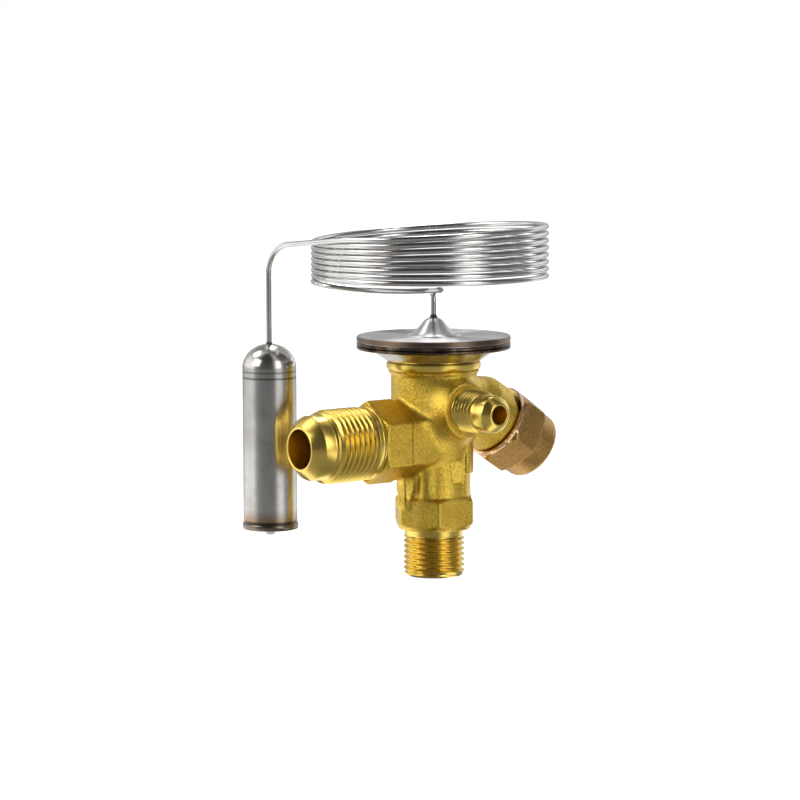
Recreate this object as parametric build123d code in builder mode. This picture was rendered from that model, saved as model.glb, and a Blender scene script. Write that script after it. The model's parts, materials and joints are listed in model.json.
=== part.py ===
"""Angle-way expansion valve with a bulb-and-capillary power head, all sizes in millimetres.

Frame: the valve axis is Z and points up to the power head, the inlet's end face is z = 0, the
outlet arm runs along -X, the equalizer port along -Y, and the setting spindle leaves the body
in the XZ plane towards +X, tilted down.
"""

from build123d import *
import math
import os

os.makedirs("parts", exist_ok=True)

# ------------------------------------------------------------------ driving sizes
# Fits shared by all the pieces
seat_gap = 0.02  # between two faces that bear on each other
bore_gap = 0.03  # radial, between a fixed piece and its bore
running_gap = 0.05  # radial, between a moving piece and its guide
thread_gap = 0.05  # radial, between two threads' plain cylinders

# Inlet end, 5/8-18 UNF
inlet_thread_d = 15.875
inlet_thread_len = 10.2
inlet_relief_d = 15.1
inlet_relief_len = 2.8
inlet_bore_d = 12.0
inlet_chamfer = 0.6
end_chamfer = 0.7

# Inlet hexagon and the round neck above it
inlet_hex_af = 19.0
inlet_hex_h = 7.6
hex_corner_r = 1.4
hex_chamfer_r = 1.9
hex_chamfer_h = 1.2
neck_d = 18.9
neck_top_z = 33.0
pocket_x = 0.7
pocket_z = 28.0
pocket_w = 4.3
pocket_h = 6.0
pocket_depth = 1.4
pocket_corner_r = 0.5
web_w = 5.0
web_foot = 9.6
web_reach = 10.6
boss_web_z = 40.0
scallop_x = 10.4
scallop_y = 4.65
scallop_r = 3.6
scallop_h = 5.7
scallop_lift = 1.2
band_d = 20.9
band_x = 2.9
band_z = 27.2
band_h = 4.8

# Outlet arm, 3/4-16 UNF flare, distances from the valve axis
outlet_z = 36.2
outlet_hex_af = 19.0
outlet_hex_end = 21.8
outlet_hex_len = 8.0
arm_corner_r = 0.6
arm_root_corner_r = 2.5
arm_step = 0.35
outlet_shoulder_d = 18.5
outlet_shoulder_end = 25.2
outlet_thread_d = 19.05
outlet_thread_end = 36.2
outlet_nose_d = 16.6
outlet_nose_end = 40.0
outlet_lip_d = 11.2
outlet_lip_end = 42.8
outlet_bore_d = 10.1
outlet_bore_depth = 25.0
outlet_passage_d = 7.6

# Equalizer port, 7/16-20 UNF flare, distances from the valve axis
equalizer_z = 44.3
equalizer_boss_d = 14.0
equalizer_boss_end = 12.8
equalizer_shoulder_end = 14.5
equalizer_thread_d = 11.11
equalizer_thread_end = 21.5
equalizer_nose_d = 9.4
equalizer_nose_end = 25.9
equalizer_lip_d = 6.1
equalizer_lip_end = 27.7
equalizer_bore_d = 4.7

# Barrel and its flange under the power head
barrel_d = 22.2
barrel_bottom_z = 37.0
flange_d = 24.5
flange_z = 53.6
flange_taper = 1.1
body_top_z = 55.9
chamber_d = 18.4
chamber_floor_z = 41.9
collar_d = 20.8
collar_depth = 1.5

# Spindle boss, distances along the spindle axis from where it crosses the valve axis
spindle_tilt = 32.0
spindle_cross_z = 51.5
boss_d = 18.4
boss_end = 23.3
boss_top_z = 51.0
cap_thread_d = 14.0
stub_end = 33.4
spindle_bore_d = 6.1
spindle_bore_start = 6.0
gland_bore_d = 9.2
gland_bore_start = 26.6
packing_bore_d = 7.8
packing_bore_start = 23.6
gland_recess = 1.2
gland_slot_w = 1.2
gland_slot_depth = 1.4

# Seal cap
cap_af = 19.0
cap_turned = 19.6  # degrees, from straight up to the nearest flat's normal
cap_start = 23.5
cap_hex_len = 12.5
cap_end_d = 17.6
cap_end_len = 2.9
cap_end_r = 1.3
cap_mouth_chamfer = 1.3
cap_mouth_lip = 0.5
cap_corner_r = 0.5
cap_hollow_d = 10.6
cap_hollow_end = 36.9
cap_gasket_h = 0.8
cap_gasket_hole_d = 6.6

# Setting spindle
spindle_thread_d = 6.0
spindle_thread_start = 13.0
spindle_thread_end = 21.5
spindle_stem_d = 4.4
spindle_tip_d = 2.5
spindle_end = 32.9
spindle_socket_af = 2.5
spindle_socket_depth = 3.0
thrust_ball_d = 2.8
thrust_ball_x = 8.0  # from the valve axis

# Superheat spring and what it bears on
seat_flange_h = 1.2
seat_cup_d = 10.2
seat_cup_wall = 0.7
spring_d = 8.4
spring_wire_d = 1.2
spring_turns = 4.5
spring_runs_per_turn = 16
wire_sides = 8
seal_sides = 10
cup_clearance = 1.2
pin_clearance = 0.3
push_pin_d = 3.0
push_pin_tip_d = 1.6
push_pin_tip_len = 6.4

# Pin guide in the wall between the diaphragm chamber and the outlet
guide_d = 6.0
guide_flange_d = 8.4
guide_flange_h = 0.9
guide_bottom_z = 39.2
guide_seal_wire_d = 0.8

# Outlet chamber and the orifice assembly in the inlet
outlet_chamber_d = 12.4
outlet_chamber_z = 31.4
outlet_chamber_top_z = 39.4
orifice_seat_z = 27.0
orifice_nose_d = 7.8
orifice_nose_end = 30.4
orifice_cup_d = 5.2
orifice_plate_z = 26.0
orifice_plate_h = 2.0
orifice_hole_d = 2.6
orifice_bore_d = 6.8
orifice_start = 12.6
orifice_seal_wire_d = 1.1
orifice_seal_z = 23.4
cone_base_d = 4.8
cone_top_d = 1.9
cone_h = 2.5
cone_stem_d = 2.6
cone_stem_len = 2.2
cone_shoulder_h = 0.8
cone_spring_d = 5.4
cone_spring_wire_d = 0.7
cone_spring_turns = 4.0
retainer_h = 2.2
retainer_z = 14.0
retainer_hole_d = 3.0
strainer_d = 9.6
strainer_wall = 0.3
strainer_z = 2.4
strainer_ring_h = 1.2
strainer_round = 1.6

# Power head
rim_d = 40.0
rim_z = 59.3
lower_rim_h = 1.85
upper_rim_h = 1.4
rim_groove = 0.35
rim_edge = 0.25
rim_w = 2.4
rim_step = 1.0
diaphragm_inset = 0.6
diaphragm_h = 0.15
cover_neck_d = 23.4
cover_flare_d = 30.7
cover_flare_z = 58.5
cover_wall = 0.8
cover_top_h = 0.9
pad_d = 25.0
pad_h = 1.2
pad_hub_d = 12.0
pad_hub_z = 54.3
ferrule_foot_d = 14.3
ferrule_foot_h = 0.5
ferrule_base_d = 11.0
ferrule_top_d = 5.2
ferrule_h = 4.6
ferrule_socket = 1.6
ferrule_waist_d = 9.4
ferrule_waist_h = 0.9
ferrule_edge = 0.45

# Capillary tube and sensing bulb
tube_d = 1.25
coil_r = 30.1
coil_start_z = 77.15
coil_pitch = 1.63
coil_tilt = 0.13  # rise at one side of the first turn
coil_tilt_gain = 0.20  # added to that rise by each turn
coil_turns = 7.86
coil_lead_angle = -37.3  # degrees, plan direction of the coil's high side
coil_shift = -0.9  # of the coil's centre from the valve axis, along its high side
stub_rise = 5.1
loop_r = 2.0
loop_rise = 2.1
loop_runs = 8
sweep_runs = 14
drop_runs = 4
drop_top_z = 86.3
drop_bend_r = 7.0
runs_per_turn = 30
tube_sides = 8
bulb_d = 14.0
bulb_x = -36.1
bulb_y = 22.7
bulb_top_z = 61.0
bulb_bottom_z = 12.8
bulb_dome_h = 6.2
dome_runs = 9
bulb_socket = 2.0
bulb_rim_d = 14.5
bulb_rim_h = 1.5
bulb_nipple_d = 3.0
bulb_nipple_h = 1.7

# ------------------------------------------------------------------ planes and axes
tilt = math.radians(spindle_tilt)
outlet_section = Plane(origin=(0, 0, outlet_z), x_dir=(0, 0, 1), z_dir=(0, -1, 0))
outlet_cross = Plane(origin=(0, 0, outlet_z), x_dir=(0, 0, 1), z_dir=(-1, 0, 0))
outlet_axis = Axis((0, 0, outlet_z), (-1, 0, 0))
equalizer_section = Plane(origin=(0, 0, equalizer_z), x_dir=(0, 0, 1), z_dir=(1, 0, 0))
equalizer_axis = Axis((0, 0, equalizer_z), (0, -1, 0))
spindle_out = (math.cos(tilt), 0, -math.sin(tilt))
spindle_up = (math.sin(tilt), 0, math.cos(tilt))
spindle_section = Plane(origin=(0, 0, spindle_cross_z), x_dir=spindle_up, z_dir=(0, 1, 0))
spindle_cross = Plane(origin=(0, 0, spindle_cross_z), x_dir=spindle_up, z_dir=spindle_out)
spindle_axis = Axis((0, 0, spindle_cross_z), spindle_out)


def outline(*points, plane=Plane.XZ):
    """A closed outline of (radius, height) points on a plane through the turning axis."""
    with BuildSketch(plane) as shape:
        with BuildLine():
            Polyline(*points, close=True)
        make_face()
    return shape.sketch


def hexagon(across_flats, plane, corner_r=0.0, rotation=0.0):
    """A hexagon of the given width across flats, with softened corners."""
    with BuildSketch(plane) as shape:
        RegularPolygon(across_flats / 2, 6, major_radius=False, rotation=rotation)
        if corner_r:
            fillet(shape.vertices(), corner_r)
    return shape.sketch


# ------------------------------------------------------------------ valve body
hex_z = inlet_thread_len + inlet_relief_len
hex_top_z = hex_z + inlet_hex_h
inlet_hex_r = inlet_hex_af / math.sqrt(3)
outlet_hex_r = outlet_hex_af / math.sqrt(3)
arm_inner_s = outlet_hex_end - outlet_hex_len

with BuildPart() as valve_body:
    # Inlet hexagon, its corners turned off at both ends
    extrude(hexagon(inlet_hex_af, Plane.XY.offset(hex_z), hex_corner_r), amount=inlet_hex_h)
    for face_z, inner_z in ((hex_z, hex_z + hex_chamfer_h), (hex_top_z, hex_top_z - hex_chamfer_h)):
        revolve(
            outline(
                (inlet_hex_r - hex_chamfer_r, face_z),
                (inlet_hex_r + hex_chamfer_r, face_z),
                (inlet_hex_r + hex_chamfer_r, 2 * inner_z - face_z),
            ),
            axis=Axis.Z,
            mode=Mode.SUBTRACT,
        )
    # Outlet arm: sharp hexagon at its end, softer and slightly narrower towards the barrel
    arm_end = outlet_cross.offset(outlet_hex_end)
    extrude(hexagon(outlet_hex_af, arm_end, arm_corner_r), amount=-outlet_hex_len)
    arm_root = outlet_cross.offset(arm_inner_s)
    extrude(hexagon(outlet_hex_af - 2 * arm_step, arm_root, arm_root_corner_r), amount=-arm_inner_s)
    # Spindle boss, cut level at its top
    revolve(
        outline((0, 0), (boss_d / 2, 0), (boss_d / 2, boss_end), (0, boss_end), plane=spindle_section),
        axis=spindle_axis,
    )
    split(bisect_by=Plane.XY.offset(boss_top_z), keep=Keep.BOTTOM)
    # Webs under the arm and under the spindle boss
    with BuildSketch(Plane.XZ.offset(-web_w / 2)):
        with BuildLine():
            Polyline(
                (0, outlet_z),
                (-web_reach, outlet_z),
                (-web_reach, outlet_z - outlet_hex_af / 2),
                (-web_foot, hex_top_z),
                (web_foot, hex_top_z),
                (web_foot, boss_web_z),
                (0, boss_web_z),
                close=True,
            )
        make_face()
    extrude(amount=web_w)
    # Inlet thread, neck, barrel and flange
    revolve(
        outline(
            (0, 0),
            (inlet_thread_d / 2 - inlet_chamfer, 0),
            (inlet_thread_d / 2, inlet_chamfer),
            (inlet_thread_d / 2, inlet_thread_len),
            (inlet_relief_d / 2, inlet_thread_len),
            (inlet_relief_d / 2, hex_z),
            (neck_d / 2, hex_z + hex_chamfer_h),
            (neck_d / 2, neck_top_z),
            (barrel_d / 2, barrel_bottom_z),
            (barrel_d / 2, flange_z - flange_taper),
            (flange_d / 2, flange_z),
            (flange_d / 2, body_top_z),
            (0, body_top_z),
        ),
        axis=Axis.Z,
    )
    # Equalizer boss
    revolve(
        outline(
            (0, 0),
            (equalizer_boss_d / 2, 0),
            (equalizer_boss_d / 2, equalizer_boss_end),
            (0, equalizer_boss_end),
            plane=equalizer_section,
        ),
        axis=equalizer_axis,
    )
    # Turned outlet end: shoulder, thread and flare nose
    revolve(
        outline(
            (0, 0),
            (outlet_shoulder_d / 2, 0),
            (outlet_shoulder_d / 2, outlet_shoulder_end),
            (outlet_thread_d / 2, outlet_shoulder_end),
            (outlet_thread_d / 2, outlet_thread_end - end_chamfer),
            (outlet_thread_d / 2 - end_chamfer, outlet_thread_end),
            (outlet_nose_d / 2, outlet_thread_end),
            (outlet_nose_d / 2, outlet_nose_end),
            (outlet_lip_d / 2, outlet_lip_end),
            (0, outlet_lip_end),
            plane=outlet_section,
        ),
        axis=outlet_axis,
    )
    # Turned equalizer end
    revolve(
        outline(
            (0, 0),
            (equalizer_boss_d / 2, equalizer_boss_end),
            (equalizer_boss_d / 2, equalizer_shoulder_end - end_chamfer),
            (equalizer_boss_d / 2 - end_chamfer, equalizer_shoulder_end),
            (equalizer_thread_d / 2, equalizer_shoulder_end),
            (equalizer_thread_d / 2, equalizer_thread_end - end_chamfer),
            (equalizer_thread_d / 2 - end_chamfer, equalizer_thread_end),
            (equalizer_nose_d / 2, equalizer_thread_end),
            (equalizer_nose_d / 2, equalizer_nose_end),
            (equalizer_lip_d / 2, equalizer_lip_end),
            (0, equalizer_lip_end),
            plane=equalizer_section,
        ),
        axis=equalizer_axis,
    )
    # Threaded stub for the seal cap
    revolve(
        outline(
            (0, boss_end - 1),
            (cap_thread_d / 2, boss_end - 1),
            (cap_thread_d / 2, stub_end - end_chamfer),
            (cap_thread_d / 2 - end_chamfer, stub_end),
            (0, stub_end),
            plane=spindle_section,
        ),
        axis=spindle_axis,
    )
    # Raised band round the spindle's side of the neck
    with BuildSketch(Plane.XY.offset(band_z)):
        Circle(band_d / 2)
        with Locations((band_x + band_d / 2, 0)):
            Rectangle(band_d, band_d, mode=Mode.INTERSECT)
    extrude(amount=band_h)
    # Stamped pocket in the front of the neck
    with BuildSketch(Plane.XZ.offset(neck_d / 2 - pocket_depth)):
        with Locations((pocket_x, pocket_z)):
            RectangleRounded(pocket_w, pocket_h, pocket_corner_r)
    extrude(amount=pocket_depth + neck_d / 2, mode=Mode.SUBTRACT)
    # Scallops between the arm's web and the flats of the neck
    for side in (-1, 1):
        with BuildSketch(Plane.XY.offset(hex_top_z + scallop_lift)):
            with Locations((-scallop_x, side * scallop_y)):
                Circle(scallop_r)
        extrude(amount=scallop_h, mode=Mode.SUBTRACT)

    # Diaphragm chamber with the seat for the power head's collar
    revolve(
        outline(
            (0, chamber_floor_z),
            (chamber_d / 2, chamber_floor_z),
            (chamber_d / 2, body_top_z - collar_depth),
            (collar_d / 2, body_top_z - collar_depth),
            (collar_d / 2, body_top_z + 1),
            (0, body_top_z + 1),
        ),
        axis=Axis.Z,
        mode=Mode.SUBTRACT,
    )
    # Inlet bore, orifice passage, outlet chamber and the pin guide's bore
    revolve(
        outline(
            (0, -1),
            (inlet_bore_d / 2, -1),
            (inlet_bore_d / 2, orifice_seat_z),
            (orifice_nose_d / 2 + bore_gap, orifice_seat_z),
            (orifice_nose_d / 2 + bore_gap, outlet_chamber_z),
            (outlet_chamber_d / 2, outlet_chamber_z),
            (outlet_chamber_d / 2, outlet_chamber_top_z),
            (guide_d / 2 + bore_gap, outlet_chamber_top_z),
            (guide_d / 2 + bore_gap, chamber_floor_z + 1),
            (0, chamber_floor_z + 1),
        ),
        axis=Axis.Z,
        mode=Mode.SUBTRACT,
    )
    # Outlet bore, narrowing where it meets the outlet chamber
    revolve(
        outline(
            (0, 0),
            (outlet_passage_d / 2, 0),
            (outlet_passage_d / 2, outlet_lip_end - outlet_bore_depth),
            (outlet_bore_d / 2, outlet_lip_end - outlet_bore_depth),
            (outlet_bore_d / 2, outlet_lip_end + 1),
            (0, outlet_lip_end + 1),
            plane=outlet_section,
        ),
        axis=outlet_axis,
        mode=Mode.SUBTRACT,
    )
    # Equalizer bore into the diaphragm chamber
    revolve(
        outline(
            (0, chamber_d / 2 - 2),
            (equalizer_bore_d / 2, chamber_d / 2 - 2),
            (equalizer_bore_d / 2, equalizer_lip_end + 1),
            (0, equalizer_lip_end + 1),
            plane=equalizer_section,
        ),
        axis=equalizer_axis,
        mode=Mode.SUBTRACT,
    )
    # Spindle bore: thread, packing chamber and gland nut thread
    revolve(
        outline(
            (0, spindle_bore_start),
            (spindle_bore_d / 2, spindle_bore_start),
            (spindle_bore_d / 2, packing_bore_start),
            (packing_bore_d / 2, packing_bore_start),
            (packing_bore_d / 2, gland_bore_start),
            (gland_bore_d / 2, gland_bore_start),
            (gland_bore_d / 2, stub_end + 1),
            (0, stub_end + 1),
            plane=spindle_section,
        ),
        axis=spindle_axis,
        mode=Mode.SUBTRACT,
    )
valve_body.part.label = "valve_body"
export_step(valve_body.part, "parts/valve_body.step")

# ------------------------------------------------------------------ power head
rim_r = rim_d / 2
diaphragm_z = rim_z + lower_rim_h
upper_z = diaphragm_z + diaphragm_h
head_top_z = upper_z + upper_rim_h
collar_r = collar_d / 2 - bore_gap
collar_z = body_top_z - collar_depth + seat_gap
flare_run = (cover_flare_d - cover_neck_d) / 2
flare_rise = cover_flare_z - body_top_z
flare_len = math.hypot(flare_run, flare_rise)
wall_in = cover_wall * flare_rise / flare_len
wall_up = cover_wall * flare_run / flare_len

with BuildPart() as head_lower_cover:
    revolve(
        outline(
            (chamber_d / 2, collar_z),
            (collar_r, collar_z),
            (collar_r, body_top_z + seat_gap),
            (cover_neck_d / 2, body_top_z + seat_gap),
            (cover_flare_d / 2, cover_flare_z),
            (cover_flare_d / 2 + rim_step, rim_z),
            (rim_r - rim_edge, rim_z),
            (rim_r, rim_z + rim_edge),
            (rim_r, rim_z + lower_rim_h / 2 - rim_groove / 2),
            (rim_r - rim_groove, rim_z + lower_rim_h / 2),
            (rim_r, rim_z + lower_rim_h / 2 + rim_groove / 2),
            (rim_r, diaphragm_z - rim_edge),
            (rim_r - rim_edge, diaphragm_z),
            (rim_r - rim_w, diaphragm_z),
            (rim_r - rim_w, rim_z + cover_wall),
            (cover_flare_d / 2 - wall_in, cover_flare_z + wall_up),
            (cover_neck_d / 2 - wall_in, body_top_z + wall_up),
            (chamber_d / 2, body_top_z + wall_up),
        ),
        axis=Axis.Z,
    )
head_lower_cover.part.label = "head_lower_cover"
export_step(head_lower_cover.part, "parts/head_lower_cover.step")

with BuildPart() as diaphragm:
    with BuildSketch(Plane.XY.offset(diaphragm_z)):
        Circle(rim_r - diaphragm_inset)
    extrude(amount=diaphragm_h)
diaphragm.part.label = "diaphragm"
export_step(diaphragm.part, "parts/diaphragm.step")

with BuildPart() as head_upper_cover:
    revolve(
        outline(
            (tube_d / 2, head_top_z - cover_top_h),
            (rim_r - rim_w, head_top_z - cover_top_h),
            (rim_r - rim_w, upper_z),
            (rim_r - rim_edge, upper_z),
            (rim_r, upper_z + rim_edge),
            (rim_r, head_top_z - rim_edge),
            (rim_r - rim_edge, head_top_z),
            (tube_d / 2, head_top_z),
        ),
        axis=Axis.Z,
    )
head_upper_cover.part.label = "head_upper_cover"
export_step(head_upper_cover.part, "parts/head_upper_cover.step")

foot_top_z = head_top_z + ferrule_foot_h
ferrule_top_z = head_top_z + ferrule_h
socket_r = tube_d / 2 + bore_gap

with BuildPart() as capillary_ferrule:
    with BuildSketch(Plane.XZ):
        with BuildLine():
            foot = Polyline(
                (0, head_top_z),
                (ferrule_foot_d / 2, head_top_z),
                (ferrule_foot_d / 2, foot_top_z),
                (ferrule_base_d / 2, foot_top_z),
            )
            cone = Polyline(
                foot @ 1,
                (ferrule_waist_d / 2, foot_top_z + ferrule_waist_h),
                (ferrule_top_d / 2, ferrule_top_z - ferrule_edge * 1.5),
                (ferrule_top_d / 2 - ferrule_edge, ferrule_top_z - ferrule_edge / 2),
                (ferrule_top_d / 2 - ferrule_edge * 2, ferrule_top_z),
            )
            Polyline(cone @ 1, (0, ferrule_top_z), (0, head_top_z))
        make_face()
    revolve(axis=Axis.Z)
    with Locations((0, 0, ferrule_top_z)):
        CounterBoreHole(tube_d / 4, socket_r, ferrule_socket)
capillary_ferrule.part.label = "capillary_ferrule"
export_step(capillary_ferrule.part, "parts/capillary_ferrule.step")

# ------------------------------------------------------------------ capillary tube
high_side = math.radians(coil_lead_angle)


def plan(across, away, height):
    """A position from distances along the coil's high side, square to it and upwards."""
    return (
        across * math.cos(high_side) - away * math.sin(high_side),
        across * math.sin(high_side) + away * math.cos(high_side),
        height,
    )


def coil_point(turn):
    """A point of the coil, which winds clockwise and upwards and leans more with each turn."""
    angle = math.pi - 2 * math.pi * turn
    lean = (coil_tilt + coil_tilt_gain * turn) * math.cos(angle)
    height = coil_start_z + coil_pitch * turn + lean
    return plan(coil_shift + coil_r * math.cos(angle), coil_r * math.sin(angle), height)


def sampled(curve, count):
    """Evenly spaced points along a curve, without its last one."""
    return [tuple(curve @ (step / count)) for step in range(count)]


coil_runs = round(coil_turns * runs_per_turn)
coil = [coil_point(coil_turns * step / coil_runs) for step in range(coil_runs + 1)]
first_heading = (Vector(*coil[1]) - Vector(*coil[0])).normalized()
last_heading = (Vector(*coil[-1]) - Vector(*coil[-2])).normalized()

# Out of the ferrule and round a small loop, then out in one sweep to the coil's first turn
stub_z = head_top_z + ferrule_h + stub_rise
loop_z = stub_z + loop_rise
loop_side = plan(loop_r, -loop_r * 0.4, loop_z)
loop_front = plan(-loop_r * 1.4, -loop_r * 1.8, loop_z)
loop_up = Bezier(
    (0, 0, stub_z),
    plan(-loop_r * 0.3, loop_r * 0.3, loop_z),
    plan(loop_r * 0.8, loop_r * 0.6, loop_z),
    loop_side,
)
loop_round = Bezier(
    loop_side,
    plan(loop_r, -loop_r * 1.15, loop_z),
    plan(-loop_r * 0.3, -loop_r * 1.1, loop_z),
    loop_front,
)
lead_sweep = Bezier(
    loop_front,
    plan(-coil_r * 0.45, -coil_r * 0.36, loop_z),
    Vector(*coil[0]) - first_heading * coil_r * 0.57,
    coil[0],
)

# Off the last turn, straight over to the bulb, and round a bend down into it
bulb_over = Vector(bulb_x, bulb_y, drop_top_z)
bend_heading = (bulb_over - Vector(*coil[-1])).normalized()
bend_start = bulb_over - bend_heading * drop_bend_r
bend_end = (bulb_x, bulb_y, drop_top_z - drop_bend_r)
drop_sweep = Bezier(
    coil[-1],
    Vector(*coil[-1]) + last_heading * coil_r * 0.2,
    bend_start - bend_heading * coil_r * 0.2,
    bend_start,
)
drop_bend = Bezier(
    bend_start,
    bend_start + bend_heading * drop_bend_r * 0.55,
    (bulb_x, bulb_y, drop_top_z - drop_bend_r * 0.45),
    bend_end,
)
bulb_socket_z = bulb_top_z - bulb_socket

route = [(0, 0, ferrule_top_z - ferrule_socket + seat_gap)]
route += sampled(loop_up, loop_runs)
route += sampled(loop_round, loop_runs)
route += sampled(lead_sweep, sweep_runs)
route += coil[:-1]
route += sampled(drop_sweep, drop_runs)
route += sampled(drop_bend, loop_runs)[1:]
route += [bend_end, (bulb_x, bulb_y, bulb_socket_z + seat_gap)]

with BuildPart() as capillary_tube:
    with BuildLine() as tube_route:
        Polyline(*route)
    with BuildSketch(Plane(origin=tube_route.line @ 0, z_dir=tube_route.line % 0)):
        RegularPolygon(tube_d / 2, tube_sides)
    sweep(transition=Transition.RIGHT)
capillary_tube.part.label = "capillary_tube"
export_step(capillary_tube.part, "parts/capillary_tube.step")

# ------------------------------------------------------------------ sensing bulb
bulb_section = Plane(origin=(bulb_x, bulb_y, 0), x_dir=(1, 0, 0), z_dir=(0, -1, 0))
bulb_axis = Axis((bulb_x, bulb_y, 0), (0, 0, 1))
dome_z = bulb_top_z - bulb_dome_h



def dome_point(share):
    """A point of the bulb's dome, from its foot at 0 to its crown at 1."""
    angle = share * math.pi / 2
    return (bulb_d / 2 * math.cos(angle), dome_z + bulb_dome_h * math.sin(angle))


with BuildPart() as sensing_bulb:
    with BuildSketch(bulb_section):
        with BuildLine():
            base = Polyline(
                (0, bulb_bottom_z),
                (bulb_rim_d / 2 - rim_edge, bulb_bottom_z),
                (bulb_rim_d / 2, bulb_bottom_z + rim_edge),
                (bulb_rim_d / 2, bulb_bottom_z + bulb_rim_h),
                (bulb_d / 2, bulb_bottom_z + bulb_rim_h),
                (bulb_d / 2, dome_z),
            )
            dome = Polyline(*[dome_point(step / dome_runs) for step in range(dome_runs + 1)])
            Line(dome @ 1, base @ 0)
        make_face()
    revolve(axis=bulb_axis)
    # Closed-off filling tube under the base
    with BuildSketch(Plane.XY.offset(bulb_bottom_z)):
        with Locations((bulb_x, bulb_y)):
            Circle(bulb_nipple_d / 2)
    extrude(amount=-bulb_nipple_h)
    fillet(sensing_bulb.faces().sort_by(Axis.Z)[0].edges(), bulb_nipple_h * 0.6)
    # Socket for the capillary tube
    with Locations((bulb_x, bulb_y, bulb_top_z)):
        Hole(socket_r, depth=bulb_socket)
sensing_bulb.part.label = "sensing_bulb"
export_step(sensing_bulb.part, "parts/sensing_bulb.step")

# ------------------------------------------------------------------ setting spindle and its seals
ball_u = thrust_ball_x / math.cos(tilt)
ball_r = thrust_ball_d / 2
ball_z = spindle_cross_z - thrust_ball_x * math.tan(tilt)

with BuildPart() as thrust_ball:
    with Locations((thrust_ball_x, 0, ball_z)):
        Sphere(ball_r)
thrust_ball.part.label = "thrust_ball"
export_step(thrust_ball.part, "parts/thrust_ball.step")

with BuildPart() as setting_spindle:
    revolve(
        outline(
            (0, ball_u),
            (spindle_tip_d / 2, ball_u),
            (spindle_tip_d / 2, spindle_thread_start - end_chamfer),
            (spindle_thread_d / 2 - end_chamfer, spindle_thread_start - end_chamfer),
            (spindle_thread_d / 2, spindle_thread_start),
            (spindle_thread_d / 2, spindle_thread_end),
            (spindle_stem_d / 2, spindle_thread_end),
            (spindle_stem_d / 2, spindle_end - end_chamfer / 2),
            (spindle_stem_d / 2 - end_chamfer / 2, spindle_end),
            (0, spindle_end),
            plane=spindle_section,
        ),
        axis=spindle_axis,
    )
    with Locations((thrust_ball_x, 0, ball_z)):
        Sphere(ball_r + seat_gap, mode=Mode.SUBTRACT)
    extrude(
        hexagon(spindle_socket_af, spindle_cross.offset(spindle_end)),
        amount=-spindle_socket_depth,
        mode=Mode.SUBTRACT,
    )
setting_spindle.part.label = "setting_spindle"
export_step(setting_spindle.part, "parts/setting_spindle.step")

seal_room = (packing_bore_d - spindle_stem_d) / 2
seal_wire_r = seal_room / 2 - seat_gap
seal_u = packing_bore_start + seal_wire_r + seat_gap

with BuildPart() as spindle_seal:
    with BuildSketch(spindle_section):
        with Locations(((packing_bore_d + spindle_stem_d) / 4, seal_u)):
            RegularPolygon(seal_wire_r, seal_sides)
    revolve(axis=spindle_axis)
spindle_seal.part.label = "spindle_seal"
export_step(spindle_seal.part, "parts/spindle_seal.step")

follower_u = seal_u + seal_wire_r + seat_gap

with BuildPart() as gland_follower:
    revolve(
        outline(
            (spindle_stem_d / 2 + running_gap, follower_u),
            (packing_bore_d / 2 - bore_gap, follower_u),
            (packing_bore_d / 2 - bore_gap, gland_bore_start),
            (spindle_stem_d / 2 + running_gap, gland_bore_start),
            plane=spindle_section,
        ),
        axis=spindle_axis,
    )
gland_follower.part.label = "gland_follower"
export_step(gland_follower.part, "parts/gland_follower.step")

with BuildPart() as gland_nut:
    revolve(
        outline(
            (spindle_stem_d / 2 + running_gap, gland_bore_start + seat_gap),
            (gland_bore_d / 2 - thread_gap, gland_bore_start + seat_gap),
            (gland_bore_d / 2 - thread_gap, stub_end - gland_recess),
            (spindle_stem_d / 2 + running_gap, stub_end - gland_recess),
            plane=spindle_section,
        ),
        axis=spindle_axis,
    )
    # Screwdriver slot across its outer face
    with BuildSketch(spindle_cross.offset(stub_end - gland_recess)):
        Rectangle(gland_slot_w, gland_bore_d)
    extrude(amount=-gland_slot_depth, mode=Mode.SUBTRACT)
gland_nut.part.label = "gland_nut"
export_step(gland_nut.part, "parts/gland_nut.step")

# ------------------------------------------------------------------ seal cap
gasket_u = stub_end + seat_gap
cap_shoulder_u = gasket_u + cap_gasket_h + seat_gap
cap_hex_end = cap_start + cap_hex_len
cap_hex_r = cap_af / math.sqrt(3)

with BuildPart() as cap_gasket:
    revolve(
        outline(
            (cap_gasket_hole_d / 2, gasket_u),
            (cap_thread_d / 2 - bore_gap, gasket_u),
            (cap_thread_d / 2 - bore_gap, gasket_u + cap_gasket_h),
            (cap_gasket_hole_d / 2, gasket_u + cap_gasket_h),
            plane=spindle_section,
        ),
        axis=spindle_axis,
    )
cap_gasket.part.label = "cap_gasket"
export_step(cap_gasket.part, "parts/cap_gasket.step")

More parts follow.
